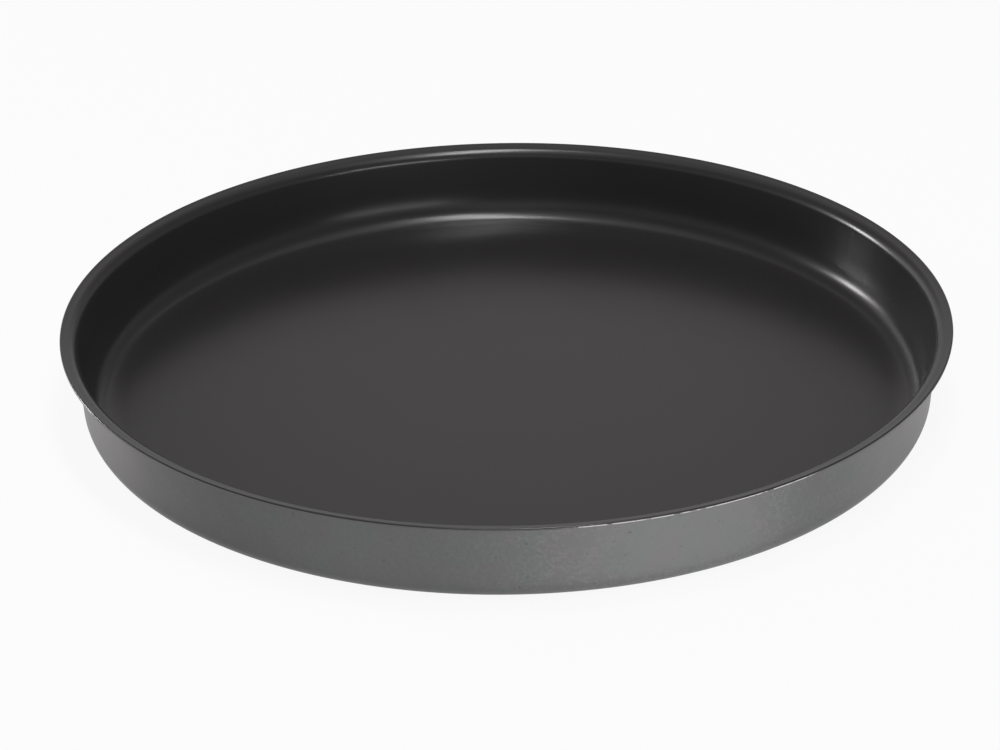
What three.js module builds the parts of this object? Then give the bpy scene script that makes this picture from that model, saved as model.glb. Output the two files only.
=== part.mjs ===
// Round baking pan: one drawn sheet of steel with a narrow rim turned out and a little up, a dark
// non-stick lining inside and a grey lacquer outside. Millimetres, +Z up, the origin under the
// middle of the base.

import * as THREE from 'three';
import { mergeGeometries } from 'three/addons/utils/BufferGeometryUtils.js';

// Driving dimensions

const RIM_DIAMETER = 300;
const PAN_HEIGHT = 29.1;
const WALL_FLARE_DEGREES = 4;

// The rim stands out past the outside of the wall and rises towards its edge.
const RIM_OVERHANG = 5;
const RIM_RISE_DEGREES = 17;

const SHEET_THICKNESS = 0.8;
const LINING_THICKNESS = 0.05;
const LACQUER_THICKNESS = 0.04;

// Radii of the tools that form the sheet: both are on the hollow side of their bend.
const FLOOR_CORNER_RADIUS = 5.6;
const RIM_BEND_RADIUS = 2;

// Fineness of the round forms
const TURN_SEGMENTS = 96;
const CORNER_STEPS = 6;
const BEND_STEPS = 5;

// Heights of the four faces in the thickness of the pan, above the sheet's underside

const LACQUER_FACE = -LACQUER_THICKNESS;
const SHEET_UNDERSIDE = 0;
const SHEET_INSIDE = SHEET_THICKNESS;
const LINING_FACE = SHEET_THICKNESS + LINING_THICKNESS;

// The drawn section. Every face is parallel to the sheet, so the corner between floor and wall
// and the bend between wall and rim each have one centre that all four faces share.

const flare = THREE.MathUtils.degToRad(WALL_FLARE_DEGREES);
const rise = THREE.MathUtils.degToRad(RIM_RISE_DEGREES);
const rimRadius = RIM_DIAMETER / 2;
const baseUnderside = LACQUER_THICKNESS;

const bendCentreRadius = rimRadius - RIM_OVERHANG + RIM_BEND_RADIUS * Math.cos(flare);
const riseToEdge = (rimRadius - bendCentreRadius) * Math.tan(rise);

// Height of a face over the centre of the bend, where the face meets the cut edge of the rim
function edgeOverBendCentre(faceHeight) {
  return riseToEdge + (RIM_BEND_RADIUS + faceHeight) / Math.cos(rise);
}

const bendCentre = new THREE.Vector2(
  bendCentreRadius,
  PAN_HEIGHT - edgeOverBendCentre(LINING_FACE),
);
const cornerCentreHeight = baseUnderside + SHEET_THICKNESS + FLOOR_CORNER_RADIUS;
const bendToCornerAcross = RIM_BEND_RADIUS + SHEET_THICKNESS + FLOOR_CORNER_RADIUS;
const leanBetweenCentres = (bendCentre.y - cornerCentreHeight) * Math.sin(flare);
const cornerCentre = new THREE.Vector2(
  bendCentre.x - (bendToCornerAcross + leanBetweenCentres) / Math.cos(flare),
  cornerCentreHeight,
);

function arcPoints(centre, radius, startAngle, endAngle, steps) {
  const points = [];
  for (let step = 0; step <= steps; step += 1) {
    const angle = THREE.MathUtils.lerp(startAngle, endAngle, step / steps);
    points.push(new THREE.Vector2(
      centre.x + radius * Math.cos(angle),
      centre.y + radius * Math.sin(angle),
    ));
  }
  return points;
}

function edgePoint(faceHeight) {
  return new THREE.Vector2(rimRadius, bendCentre.y + edgeOverBendCentre(faceHeight));
}

// One face of the sheet or of a coat, from the middle of the floor out to the cut edge of the rim.
function faceProfile(faceHeight) {
  const cornerRadius = FLOOR_CORNER_RADIUS + SHEET_THICKNESS - faceHeight;
  const bendRadius = RIM_BEND_RADIUS + faceHeight;
  return [
    new THREE.Vector2(0, baseUnderside + faceHeight),
    ...arcPoints(cornerCentre, cornerRadius, -Math.PI / 2, -flare, CORNER_STEPS),
    ...arcPoints(bendCentre, bendRadius, Math.PI - flare, Math.PI / 2 + rise, BEND_STEPS),
    edgePoint(faceHeight),
  ];
}

// A face is turned with the same facets for the layer under it and the layer over it, so that the
// two meet on it without a gap. As turned, it faces down and out of the pan.
function turnedFace(faceHeight) {
  return new THREE.LatheGeometry(faceProfile(faceHeight), TURN_SEGMENTS);
}

function facingIn(geometry) {
  const corners = geometry.index;
  for (let first = 0; first < corners.count; first += 3) {
    const second = corners.getX(first + 1);
    corners.setX(first + 1, corners.getX(first + 2));
    corners.setX(first + 2, second);
  }
  return geometry;
}

function cutEdge(lowerFace, upperFace) {
  return new THREE.LatheGeometry([edgePoint(lowerFace), edgePoint(upperFace)], TURN_SEGMENTS);
}

// A layer is the solid between two of the faces, closed by its edge at the rim.
function layer(name, lowerFace, upperFace, material) {
  const geometry = mergeGeometries([
    turnedFace(lowerFace),
    facingIn(turnedFace(upperFace)),
    cutEdge(lowerFace, upperFace),
  ]);
  geometry.rotateX(Math.PI / 2);
  geometry.computeVertexNormals();
  const mesh = new THREE.Mesh(geometry, material);
  mesh.name = name;
  return mesh;
}

// Steel shell: the drawn sheet itself, bare only at the trimmed edge of the rim
const steelShell = layer(
  'steel_shell',
  SHEET_UNDERSIDE,
  SHEET_INSIDE,
  new THREE.MeshStandardMaterial({ color: 0xb4b2af, roughness: 0.35, metalness: 1 }),
);

// Non-stick lining: the dark coat inside the pan and over the top of the rim
const nonstickLining = layer(
  'nonstick_lining',
  SHEET_INSIDE,
  LINING_FACE,
  new THREE.MeshStandardMaterial({ color: 0x2b2a2b, roughness: 0.38, metalness: 0 }),
);

// Outer lacquer: the grey coat on the wall, under the rim and under the base
const outerLacquer = layer(
  'outer_lacquer',
  LACQUER_FACE,
  SHEET_UNDERSIDE,
  new THREE.MeshStandardMaterial({ color: 0x6f6f70, roughness: 0.45, metalness: 0.6 }),
);

const bakingPan = new THREE.Group();
bakingPan.name = 'round_baking_pan';
bakingPan.add(steelShell, nonstickLining, outerLacquer);

export default bakingPan;
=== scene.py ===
import math

import bmesh
import bpy
from mathutils import Matrix, Vector


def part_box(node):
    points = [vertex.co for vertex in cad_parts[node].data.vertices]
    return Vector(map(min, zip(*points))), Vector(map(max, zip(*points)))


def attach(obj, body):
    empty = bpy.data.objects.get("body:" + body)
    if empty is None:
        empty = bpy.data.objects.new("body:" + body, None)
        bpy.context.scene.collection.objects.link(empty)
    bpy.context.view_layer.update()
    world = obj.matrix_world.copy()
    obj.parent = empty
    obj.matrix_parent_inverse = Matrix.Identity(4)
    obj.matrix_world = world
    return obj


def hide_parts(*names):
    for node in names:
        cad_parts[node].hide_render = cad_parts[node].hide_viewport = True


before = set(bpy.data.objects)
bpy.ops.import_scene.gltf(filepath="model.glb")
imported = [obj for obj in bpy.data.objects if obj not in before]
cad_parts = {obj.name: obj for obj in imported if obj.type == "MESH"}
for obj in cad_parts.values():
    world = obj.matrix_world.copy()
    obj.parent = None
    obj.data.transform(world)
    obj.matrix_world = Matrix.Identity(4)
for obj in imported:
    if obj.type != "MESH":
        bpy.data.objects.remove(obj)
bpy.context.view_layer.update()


# Steel shell
# The pan itself: one round blank of thin cold-rolled sheet, drawn into floor, wall and rim in a press.
# The rim is trimmed last, so the sheared edge stays bare: a burnished band over a torn band, dull in
# colour, with painted highlights where it glints.

shell_low, shell_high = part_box("steel_shell")
lining_low, lining_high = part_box("nonstick_lining")
lacquer_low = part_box("outer_lacquer")[0]

rim_radius = shell_high.x
rim_overhang = 0.005
rim_rise = math.radians(17.0)
wall_flare = math.radians(4.0)
sheet = lining_low.z - shell_low.z
lining_thickness = (lining_high.z - shell_high.z) * math.cos(rim_rise)
lacquer_thickness = shell_low.z - lacquer_low.z

# Outside, the bends are those of the press tools.
floor_corner_radius = 0.0056
rim_bend_radius = 0.002

# Inside, they are softer: a long corner with a tighter bend in it, and a rim that is slightly hollow.
inside_corner_length = 0.024
tight_length = 0.010
tight_share = 0.4
tight_place = 0.43
inside_bend_radius = 0.004
inside_bend_lift = 0.0002
rim_start_rise = math.radians(9.0)

turn_segments = 240
floor_rings = 24
corner_steps = 32
wall_steps = 8
bend_steps = 12
rim_steps = 8

# The trimmed edge is upright, and its upper lip is rolled over.
edge_roll = 0.0004
edge_roll_steps = 6
cut_radius = rim_radius - lining_thickness
roll_centre = (rim_radius - edge_roll,
               lining_high.z - edge_roll * (math.tan(rim_rise) + 1 / math.cos(rim_rise)))

wall_angle = math.pi - wall_flare
rim_angle = math.pi / 2 + rim_rise
rim_start_angle = math.pi / 2 + rim_start_rise
bend_across = rim_radius - rim_overhang + rim_bend_radius * math.cos(wall_flare)
bend_under_top = ((rim_radius - bend_across) * math.tan(rim_rise)
                  + (rim_bend_radius + sheet + lining_thickness) / math.cos(rim_rise))
bend_centre = (bend_across, lining_high.z - bend_under_top)


def around(centre, radius, angle):
    """One point of a round stretch of the section, as (distance from the axis, height)."""
    return (centre[0] + radius * math.cos(angle), centre[1] + radius * math.sin(angle))


def arc(centre, radius, start, end, steps):
    """Points of a round stretch, with its two ends."""
    return [around(centre, radius, start + (end - start) * step / steps) for step in range(steps + 1)]


def straight(start, end, steps):
    """Points of a straight stretch, without its two ends."""
    shares = [step / steps for step in range(1, steps)]
    return [tuple(s + (e - s) * share for s, e in zip(start, end)) for share in shares]


def hollow(start, slope, end, steps):
    """Points of a stretch that leaves its start at a slope and curves to its end, without its start."""
    length = end[0] - start[0]
    curve = (end[1] - start[1] - slope * length) / length ** 2
    ways = [length * (step + 1) / steps for step in range(steps)]
    return [(start[0] + way, start[1] + slope * way + curve * way ** 2) for way in ways]


def eased(share):
    """A turn from 0 to 1 that starts and ends gently."""
    share = min(max(share, 0.0), 1.0)
    return share * share * (3 - 2 * share)


def corner_slope(share):
    """Slope of the inside part of the way along its corner: a tight bend inside a long, soft one."""
    tight = eased((share - tight_place) * inside_corner_length / tight_length + 0.5)
    return (math.pi / 2 - wall_flare) * (tight_share * tight + (1 - tight_share) * eased(share))


def whole_face(corner, bend, rim):
    """A face from the middle of the floor, by its corner and bend, to the edge of the rim."""
    middle = (0.0, corner[0][1])
    return ([middle] + straight(middle, corner[0], floor_rings) + corner
            + straight(corner[-1], bend[0], wall_steps) + bend + rim)


def outside_face(height):
    """A face on the outside, at that height over the sheet's underside, bent as by the tools."""
    corner_height = shell_low.z + sheet + floor_corner_radius
    across = rim_bend_radius + sheet + floor_corner_radius
    lean = (bend_centre[1] - corner_height) * math.sin(wall_flare)
    corner_centre = (bend_centre[0] - (across + lean) / math.cos(wall_flare), corner_height)
    corner_radius = floor_corner_radius + sheet - height
    corner = arc(corner_centre, corner_radius, -math.pi / 2, -wall_flare, corner_steps)
    bend = arc(bend_centre, rim_bend_radius + height, wall_angle, rim_angle, bend_steps)
    edge = (cut_radius, bend[-1][1] + (cut_radius - bend[-1][0]) * math.tan(rim_rise))
    return whole_face(corner, bend, straight(bend[-1], edge, rim_steps) + [edge])


def inside_face(height):
    """A face on the inside, at that height over the sheet's inside, whose bends are softer."""
    middle_angle, half_angle = (wall_angle + rim_angle) / 2, (wall_angle - rim_angle) / 2
    inward = (inside_bend_radius - rim_bend_radius - sheet) / math.cos(half_angle)
    soft_centre = (bend_centre[0] - inward * math.cos(middle_angle),
                   bend_centre[1] - inward * math.sin(middle_angle) + inside_bend_lift)
    bend = arc(soft_centre, inside_bend_radius + height, wall_angle, rim_start_angle, bend_steps)
    edge = around(roll_centre, edge_roll - lining_thickness + height, rim_angle)
    across = up = 0.0
    path = []
    for step in range(corner_steps + 1):
        path.append((across, up, corner_slope(step / corner_steps)))
        slope = corner_slope((step + 0.5) / corner_steps)
        across += inside_corner_length / corner_steps * math.cos(slope)
        up += inside_corner_length / corner_steps * math.sin(slope)
    wall_top = around(soft_centre, inside_bend_radius, wall_angle)
    inside_floor = shell_low.z + sheet
    wall_foot = wall_top[0] - (wall_top[1] - inside_floor - up) * math.tan(wall_flare)
    start = wall_foot - across
    corner = [(start + x - height * math.sin(slope), inside_floor + z + height * math.cos(slope))
              for x, z, slope in path]
    return whole_face(corner, bend, hollow(bend[-1], math.tan(rim_start_rise), edge, rim_steps))


def turned(name, outline):
    """A closed body turned from an outline that starts and ends on the axis."""
    mesh = bmesh.new()
    rings = []
    for radius, height in outline:
        if radius == 0.0:
            rings.append([mesh.verts.new((0.0, 0.0, height))])
            continue
        turns = [2 * math.pi * k / turn_segments for k in range(turn_segments)]
        rings.append([mesh.verts.new((radius * math.cos(t), radius * math.sin(t), height))
                      for t in turns])
    for inner, outer in zip(rings, rings[1:]):
        for k in range(turn_segments):
            after = (k + 1) % turn_segments
            if len(inner) == 1:
                mesh.faces.new((inner[0], outer[after], outer[k]))
            elif len(outer) == 1:
                mesh.faces.new((inner[k], inner[after], outer[0]))
            else:
                mesh.faces.new((inner[k], inner[after], outer[after], outer[k]))
    for face in mesh.faces:
        face.smooth = True
    bmesh.ops.recalc_face_normals(mesh, faces=mesh.faces)
    data = bpy.data.meshes.new(name)
    mesh.to_mesh(data)
    mesh.free()
    piece = bpy.data.objects.new(name, data)
    bpy.context.scene.collection.objects.link(piece)
    return piece


class Socket:
    """A shader socket that takes part in plain arithmetic: each operator adds a Math node."""

    def __init__(self, tree, output):
        self.tree = tree
        self.output = output

    def node(self, kind, settings, inputs, output=0):
        """Any other node: its settings first, then the values or links of its sockets."""
        made = self.tree.nodes.new(kind)
        for key, value in settings.items():
            setattr(made, key, value)
        for key, value in inputs.items():
            if isinstance(value, Socket):
                self.tree.links.new(value.output, made.inputs[key])
            else:
                made.inputs[key].default_value = value
        return Socket(self.tree, made.outputs[output]) if made.outputs else None

    def math(self, operation, first, second):
        return self.node("ShaderNodeMath", {"operation": operation}, {0: first, 1: second})

    def __add__(self, other):
        return self.math("ADD", self, other)

    def __radd__(self, other):
        return self.math("ADD", other, self)

    def __sub__(self, other):
        return self.math("SUBTRACT", self, other)

    def __rsub__(self, other):
        return self.math("SUBTRACT", other, self)

    def __mul__(self, other):
        return self.math("MULTIPLY", self, other)

    def __rmul__(self, other):
        return self.math("MULTIPLY", other, self)

    def __pow__(self, other):
        return self.math("POWER", self, other)


def new_finish(piece, name):
    """An empty material on the piece. Gives the place on the piece, in metres, to paint by."""
    material = bpy.data.materials.new(name)
    material.use_nodes = True
    material.node_tree.nodes.clear()
    piece.data.materials.append(material)
    coordinates = material.node_tree.nodes.new("ShaderNodeTexCoord")
    return Socket(material.node_tree, coordinates.outputs["Object"])


def grain(place, size, detail=3.0, roughness=0.5):
    """Cloudy variation from 0 to 1 whose patches are about that size, in metres."""
    settings = {"noise_dimensions": "3D"}
    inputs = {"Vector": place, "Scale": 1.0 / size, "Detail": detail, "Roughness": roughness}
    return place.node("ShaderNodeTexNoise", settings, inputs, "Fac")


def between(value, low, high):
    """0 below low, 1 above high, and smooth between them."""
    settings = {"interpolation_type": "SMOOTHSTEP"}
    inputs = {"Value": value, "From Min": low, "From Max": high}
    return value.node("ShaderNodeMapRange", settings, inputs, "Result")


def along(place, axis):
    """One coordinate of a place."""
    return place.node("ShaderNodeSeparateXYZ", {}, {"Vector": place}, axis)


def turn_about_axis(place):
    """The turn of a place about the pan's axis, in radians: 0 to the right, negative in front."""
    return place.math("ARCTAN2", along(place, "Y"), along(place, "X"))


def stretch(turn, start, end, fade):
    """1 from one turn about the axis to another, and 0 outside of it."""
    return between(turn, start - fade, start + fade) - between(turn, end - fade, end + fade)


def blend_colour(place, share, first, second):
    """The first colour where the share is 0, the second where it is 1."""
    settings = {"data_type": "RGBA", "blend_type": "MIX"}
    factor, first_colour, second_colour, mixed_colour = 0, 6, 7, 2
    inputs = {factor: share, first_colour: first, second_colour: second}
    return place.node("ShaderNodeMix", settings, inputs, mixed_colour)


def dress(place, principled):
    """Ends a finish: the Principled shader with these socket values, on the piece's surface."""
    shader = place.node("ShaderNodeBsdfPrincipled", {}, principled)
    place.node("ShaderNodeOutputMaterial", {}, {"Surface": shader})


under = outside_face(0.0)
inside = inside_face(0.0)
steel_roll = arc(roll_centre, edge_roll - lining_thickness, 0.0, rim_angle, edge_roll_steps)
steel_shell = turned("pressed_steel_shell", under + steel_roll + inside[::-1][1:])

dull_steel = (0.16, 0.157, 0.157, 1.0)
bright_steel = (0.80, 0.785, 0.78, 1.0)
torn_top = roll_centre[1] - 0.00045
burnish_foot = roll_centre[1] - 0.00025
break_size = 0.0035
scratch_size = 0.0006

place = new_finish(steel_shell, "bare sheared steel")
turn = turn_about_axis(place)
# Painted highlight: the edge's colour is bright steel only in a stretch at the front, right of its
# middle, and in a short stretch at the left, broken up at random where it glints in the light. Inside
# these stretches the burnished upper band is painted brighter than the torn band below.
glint_stretch_front = stretch(turn, math.radians(-83.0), math.radians(-52.0), 0.03)
glint_stretch_left = stretch(turn, math.radians(-153.8), math.radians(-151.8), 0.01)
broken = between(grain(place, break_size, 4.0, 0.65), 0.37, 0.48)
burnished = between(along(place, "Z"), torn_top, burnish_foot)
painted_glint = (glint_stretch_front + glint_stretch_left) * broken * (0.25 + 0.75 * burnished)
dress(place, {"Base Color": blend_colour(place, painted_glint, dull_steel, bright_steel),
              "Metallic": 0.9,
              "Roughness": 0.42 - 0.12 * painted_glint + 0.1 * grain(place, scratch_size)})

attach(steel_shell, "root")
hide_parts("steel_shell")


# Non-stick lining
# The dark grey baked-on coat over the inside and the top of the rim, rolled on to the flat sheet
# and drawn with it: smooth and half glossy, with a faint orange peel.

lining_tip = 0.05
lining_face = inside_face(lining_thickness)
lining_foot = arc(roll_centre, edge_roll - lining_thickness, lining_tip, rim_angle, edge_roll_steps)
lining_roll = arc(roll_centre, edge_roll, lining_tip, rim_angle, edge_roll_steps)
nonstick_lining = turned("nonstick_lining_coat",
                         inside[:-1] + lining_foot[::-1] + lining_roll + lining_face[::-1][1:])

baked_dark = (0.0246, 0.0234, 0.0238, 1.0)
baked_pale = (0.0274, 0.0260, 0.0264, 1.0)
baked_patch_size = 0.04
gloss_patch_size = 0.02
peel_size = 0.0028
peel_depth = 0.0001

place = new_finish(nonstick_lining, "baked non-stick coat")
peel = place.node("ShaderNodeBump", {}, {"Strength": 0.02, "Distance": peel_depth,
                                         "Height": grain(place, peel_size, 2.0)})
baked = blend_colour(place, grain(place, baked_patch_size, 2.0), baked_dark, baked_pale)
dress(place, {"Base Color": baked, "Metallic": 0.0, "IOR": 1.5, "Normal": peel,
              "Roughness": 0.23 + 0.05 * grain(place, gloss_patch_size)})

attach(nonstick_lining, "root")
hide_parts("nonstick_lining")


# Outer lacquer
# The satin metallic grey coat on the outside of the wall, under the rim and under the base:
# fine aluminium flake in a clear binder, a little cloudy, with fine specks.

lacquer_face = outside_face(-lacquer_thickness)
outer_lacquer = turned("outer_lacquer_coat", lacquer_face + under[::-1])

grey_dark, grey_pale = (0.114, 0.1115, 0.1122, 1.0), (0.248, 0.244, 0.245, 1.0)
green_dark, green_pale = (0.107, 0.1135, 0.112, 1.0), (0.235, 0.250, 0.246, 1.0)
warm_dark, warm_pale = (0.116, 0.1108, 0.1126, 1.0), (0.2535, 0.2425, 0.2464, 1.0)
speck_colour = (0.06, 0.06, 0.061, 1.0)
cloud_size = 0.026
tint_size = 0.012
mottle_patch_size = 0.008
mottle_size = 0.0012
speck_size = 0.0011
pit_size = 0.0016
pit_depth = 0.0001
base_tone = 0.30
base_edge, wall_foot = 0.115, 0.135

# Painted highlight: the front of the wall, mostly right of its middle, is made paler where it catches
# the light, and less so near its foot, as painted shade there.
place = new_finish(outer_lacquer, "grey metallic lacquer")
turn = turn_about_axis(place)
painted_sheen_front = (between(turn, -1.80, -1.22) - 0.72 * between(turn, -1.10, -0.84)
              - 0.28 * between(turn, -0.8, -0.5))
painted_sheen_above_foot = painted_sheen_front * (0.5 + 0.5 * between(along(place, "Z"), 0.001, 0.009))
# Painted shade: a stretch of the wall at the front left is made darker.
painted_shade_left = stretch(turn, -2.48, -2.05, 0.2)
# Painted reflection: both ends of the wall, left and right, are made paler.
painted_reflection_ends = 0.27 * between(turn, -0.80, -0.56) + 0.20 - 0.20 * between(turn, -2.62, -2.44)
from_axis = place.math("SQRT", along(place, "X") ** 2.0 + along(place, "Y") ** 2.0, 0.0)
on_wall = between(from_axis, base_edge, wall_foot)
# The wall's tone carries these painted highlights, shade and reflections; the underside of the base
# keeps the plain tone.
tone = base_tone + on_wall * (0.84 * painted_sheen_above_foot - 0.22 * painted_shade_left + painted_reflection_ends)

cloud = grain(place, cloud_size, 2.0)
mottle = (between(grain(place, mottle_size, 4.0, 0.65), 0.44, 0.64)
          * between(grain(place, mottle_patch_size, 2.0), 0.30, 0.50))
grained = tone + (0.07 + 0.34 * painted_sheen_above_foot) * (mottle - 0.4) + 0.06 * (cloud - 0.5)

grey = blend_colour(place, grained, grey_dark, grey_pale)
green = blend_colour(place, grained, green_dark, green_pale)
warm = blend_colour(place, grained, warm_dark, warm_pale)
greenish = 0.8 * between(grain(place, tint_size, 2.0), 0.45, 0.60)
warm_ends = between(turn, -0.62, -0.46) + 1.0 - between(turn, -2.7, -2.1)
tinted = blend_colour(place, warm_ends, blend_colour(place, greenish, grey, green), warm)
specks = 0.5 * between(grain(place, speck_size, 2.0), 0.69, 0.75)
pits = place.node("ShaderNodeBump", {}, {"Strength": 0.18, "Distance": pit_depth,
                                         "Height": grain(place, pit_size, 3.0)})
dress(place, {"Base Color": blend_colour(place, specks, tinted, speck_colour),
              "Metallic": 0.75, "Roughness": 0.34 + 0.08 * cloud, "Normal": pits})

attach(outer_lacquer, "root")
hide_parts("outer_lacquer")


# Ground and light
# A sheet of white board on a table, in a grey room with paler walls at the left and behind, under a
# long softbox, with a smaller one at the left and a low panel at the right. The camera sees the board
# nearly white, with only a faint shadow left on it.

ground_half = 3.0
ground_gap = 0.00002
board_colour = (0.8, 0.8, 0.8, 1.0)
white_colour = (1.0, 1.0, 1.0, 1.0)

ground_mesh = bmesh.new()
ground_height = lacquer_low.z - ground_gap
ground_mesh.faces.new([ground_mesh.verts.new((x * ground_half, y * ground_half, ground_height))
                       for x, y in [(-1, -1), (1, -1), (1, 1), (-1, 1)]])
ground_data = bpy.data.meshes.new("white_ground")
ground_mesh.to_mesh(ground_data)
ground_mesh.free()
ground = bpy.data.objects.new("white_ground", ground_data)
bpy.context.scene.collection.objects.link(ground)

place = new_finish(ground, "white ground board")
board = place.node("ShaderNodeBsdfDiffuse", {}, {"Color": board_colour})
white = place.node("ShaderNodeEmission", {}, {"Color": white_colour, "Strength": 1.0})
seen = place.node("ShaderNodeLightPath", {}, {}, "Is Camera Ray")
mirrored = place.node("ShaderNodeLightPath", {}, {}, "Is Glossy Ray")
shader = place.node("ShaderNodeMixShader", {}, {0: 0.92 * seen + 0.6 * mirrored, 1: board, 2: white})
place.node("ShaderNodeOutputMaterial", {}, {"Surface": shader})

left_front, left_back = (0.34, 0.336, 0.337, 1.0), (1.0, 0.975, 0.983, 1.0)
right_wall = (0.24, 0.237, 0.238, 1.0)
backdrop_low, backdrop_shelf = (0.56, 0.553, 0.556, 1.0), (0.58, 0.572, 0.575, 1.0)
middle_strip, middle_sides = (0.475, 0.45, 0.458, 1.0), (0.15, 0.148, 0.149, 1.0)
upper_strip, upper_sides = (0.40, 0.395, 0.397, 1.0), (0.13, 0.128, 0.129, 1.0)
ceiling = (0.42, 0.415, 0.417, 1.0)

world = bpy.data.worlds.new("pale room")
world.use_nodes = True
world.node_tree.nodes.clear()
sky = Socket(world.node_tree, world.node_tree.nodes.new("ShaderNodeTexCoord").outputs["Generated"])
across, behind, above = along(sky, "X"), along(sky, "Y"), along(sky, "Z")
off_middle = across * across
left = blend_colour(sky, between(behind, -0.05, 0.45), left_front, left_back)
sides = blend_colour(sky, between(across, -0.75, -0.05), left, right_wall)
backdrop = between(behind, 0.6, 0.9) * (1.0 - between(off_middle, 0.01, 0.06))
low = blend_colour(sky, backdrop, sides, backdrop_low)
shelf = blend_colour(sky, between(off_middle, 0.05, 0.16), backdrop_shelf, sides)
middle = blend_colour(sky, between(off_middle, 0.0, 0.035), middle_strip, middle_sides)
upper = blend_colour(sky, between(off_middle, 0.08, 0.25), upper_strip, upper_sides)
room = blend_colour(sky, between(above, 0.10, 0.22), low, shelf)
room = blend_colour(sky, between(above, 0.32, 0.44), room, middle)
room = blend_colour(sky, between(above, 0.52, 0.66), room, upper)
room = blend_colour(sky, between(above, 0.74, 0.90), room, ceiling)
seen = sky.node("ShaderNodeLightPath", {}, {}, "Is Camera Ray")
background = sky.node("ShaderNodeBackground", {}, {"Color": blend_colour(sky, seen, room, white_colour)})
sky.node("ShaderNodeOutputWorld", {}, {"Surface": background})
bpy.context.scene.world = world

lamp_colour = (1.0, 0.982, 0.988)
watts_per_radiance = 4


def softbox(name, turn, rise, distance, width, length, radiance):
    """A soft lamp that looks at the pan from a turn about the axis and a rise over the ground."""
    lamp = bpy.data.lights.new(name, "AREA")
    lamp.shape = "RECTANGLE"
    lamp.size = width
    lamp.size_y = length
    lamp.color = lamp_colour
    lamp.energy = watts_per_radiance * width * length * radiance
    turn, rise = math.radians(turn), math.radians(rise)
    flat = math.cos(rise)
    towards = Vector((flat * math.cos(turn), flat * math.sin(turn), math.sin(rise)))
    holder = bpy.data.objects.new(name, lamp)
    holder.location = towards * distance
    holder.rotation_euler = (-towards).to_track_quat("-Z", "Y").to_euler()
    bpy.context.scene.collection.objects.link(holder)


softbox("overhead_softbox", -70.0, 77.0, 1.2, 0.16, 0.75, 14.5)
softbox("left_softbox", 153.0, 9.5, 1.2, 0.18, 0.27, 24.0)
softbox("right_low_panel", -58.0, 3.4, 1.3, 0.75, 0.15, 9.0)


# Camera
# A long lens a little over a metre away, looking down at the pan from the front, and held
# a shade off level.

lens_mm = 115.0
sensor_mm = 36.0
camera_distance = 1.0909
camera_elevation = math.radians(26.527)
camera_roll = math.radians(-0.8815)
camera_target = Vector((-0.00234, 0.0, 0.00514))

back = Vector((0.0, -math.cos(camera_elevation), math.sin(camera_elevation)))
right = Vector((1.0, 0.0, 0.0))
up = back.cross(right)
rolled_right = right * math.cos(camera_roll) + up * math.sin(camera_roll)
rolled_up = up * math.cos(camera_roll) - right * math.sin(camera_roll)
camera_data = bpy.data.cameras.new("camera")
camera_data.sensor_fit = "HORIZONTAL"
camera_data.sensor_width = sensor_mm
camera_data.lens = lens_mm
camera = bpy.data.objects.new("camera", camera_data)
facing = Matrix((rolled_right, rolled_up, back)).transposed().to_4x4()
camera.matrix_world = Matrix.Translation(camera_target + back * camera_distance) @ facing
bpy.context.scene.collection.objects.link(camera)
bpy.context.scene.camera = camera
bpy.context.scene.view_settings.view_transform = "Standard"
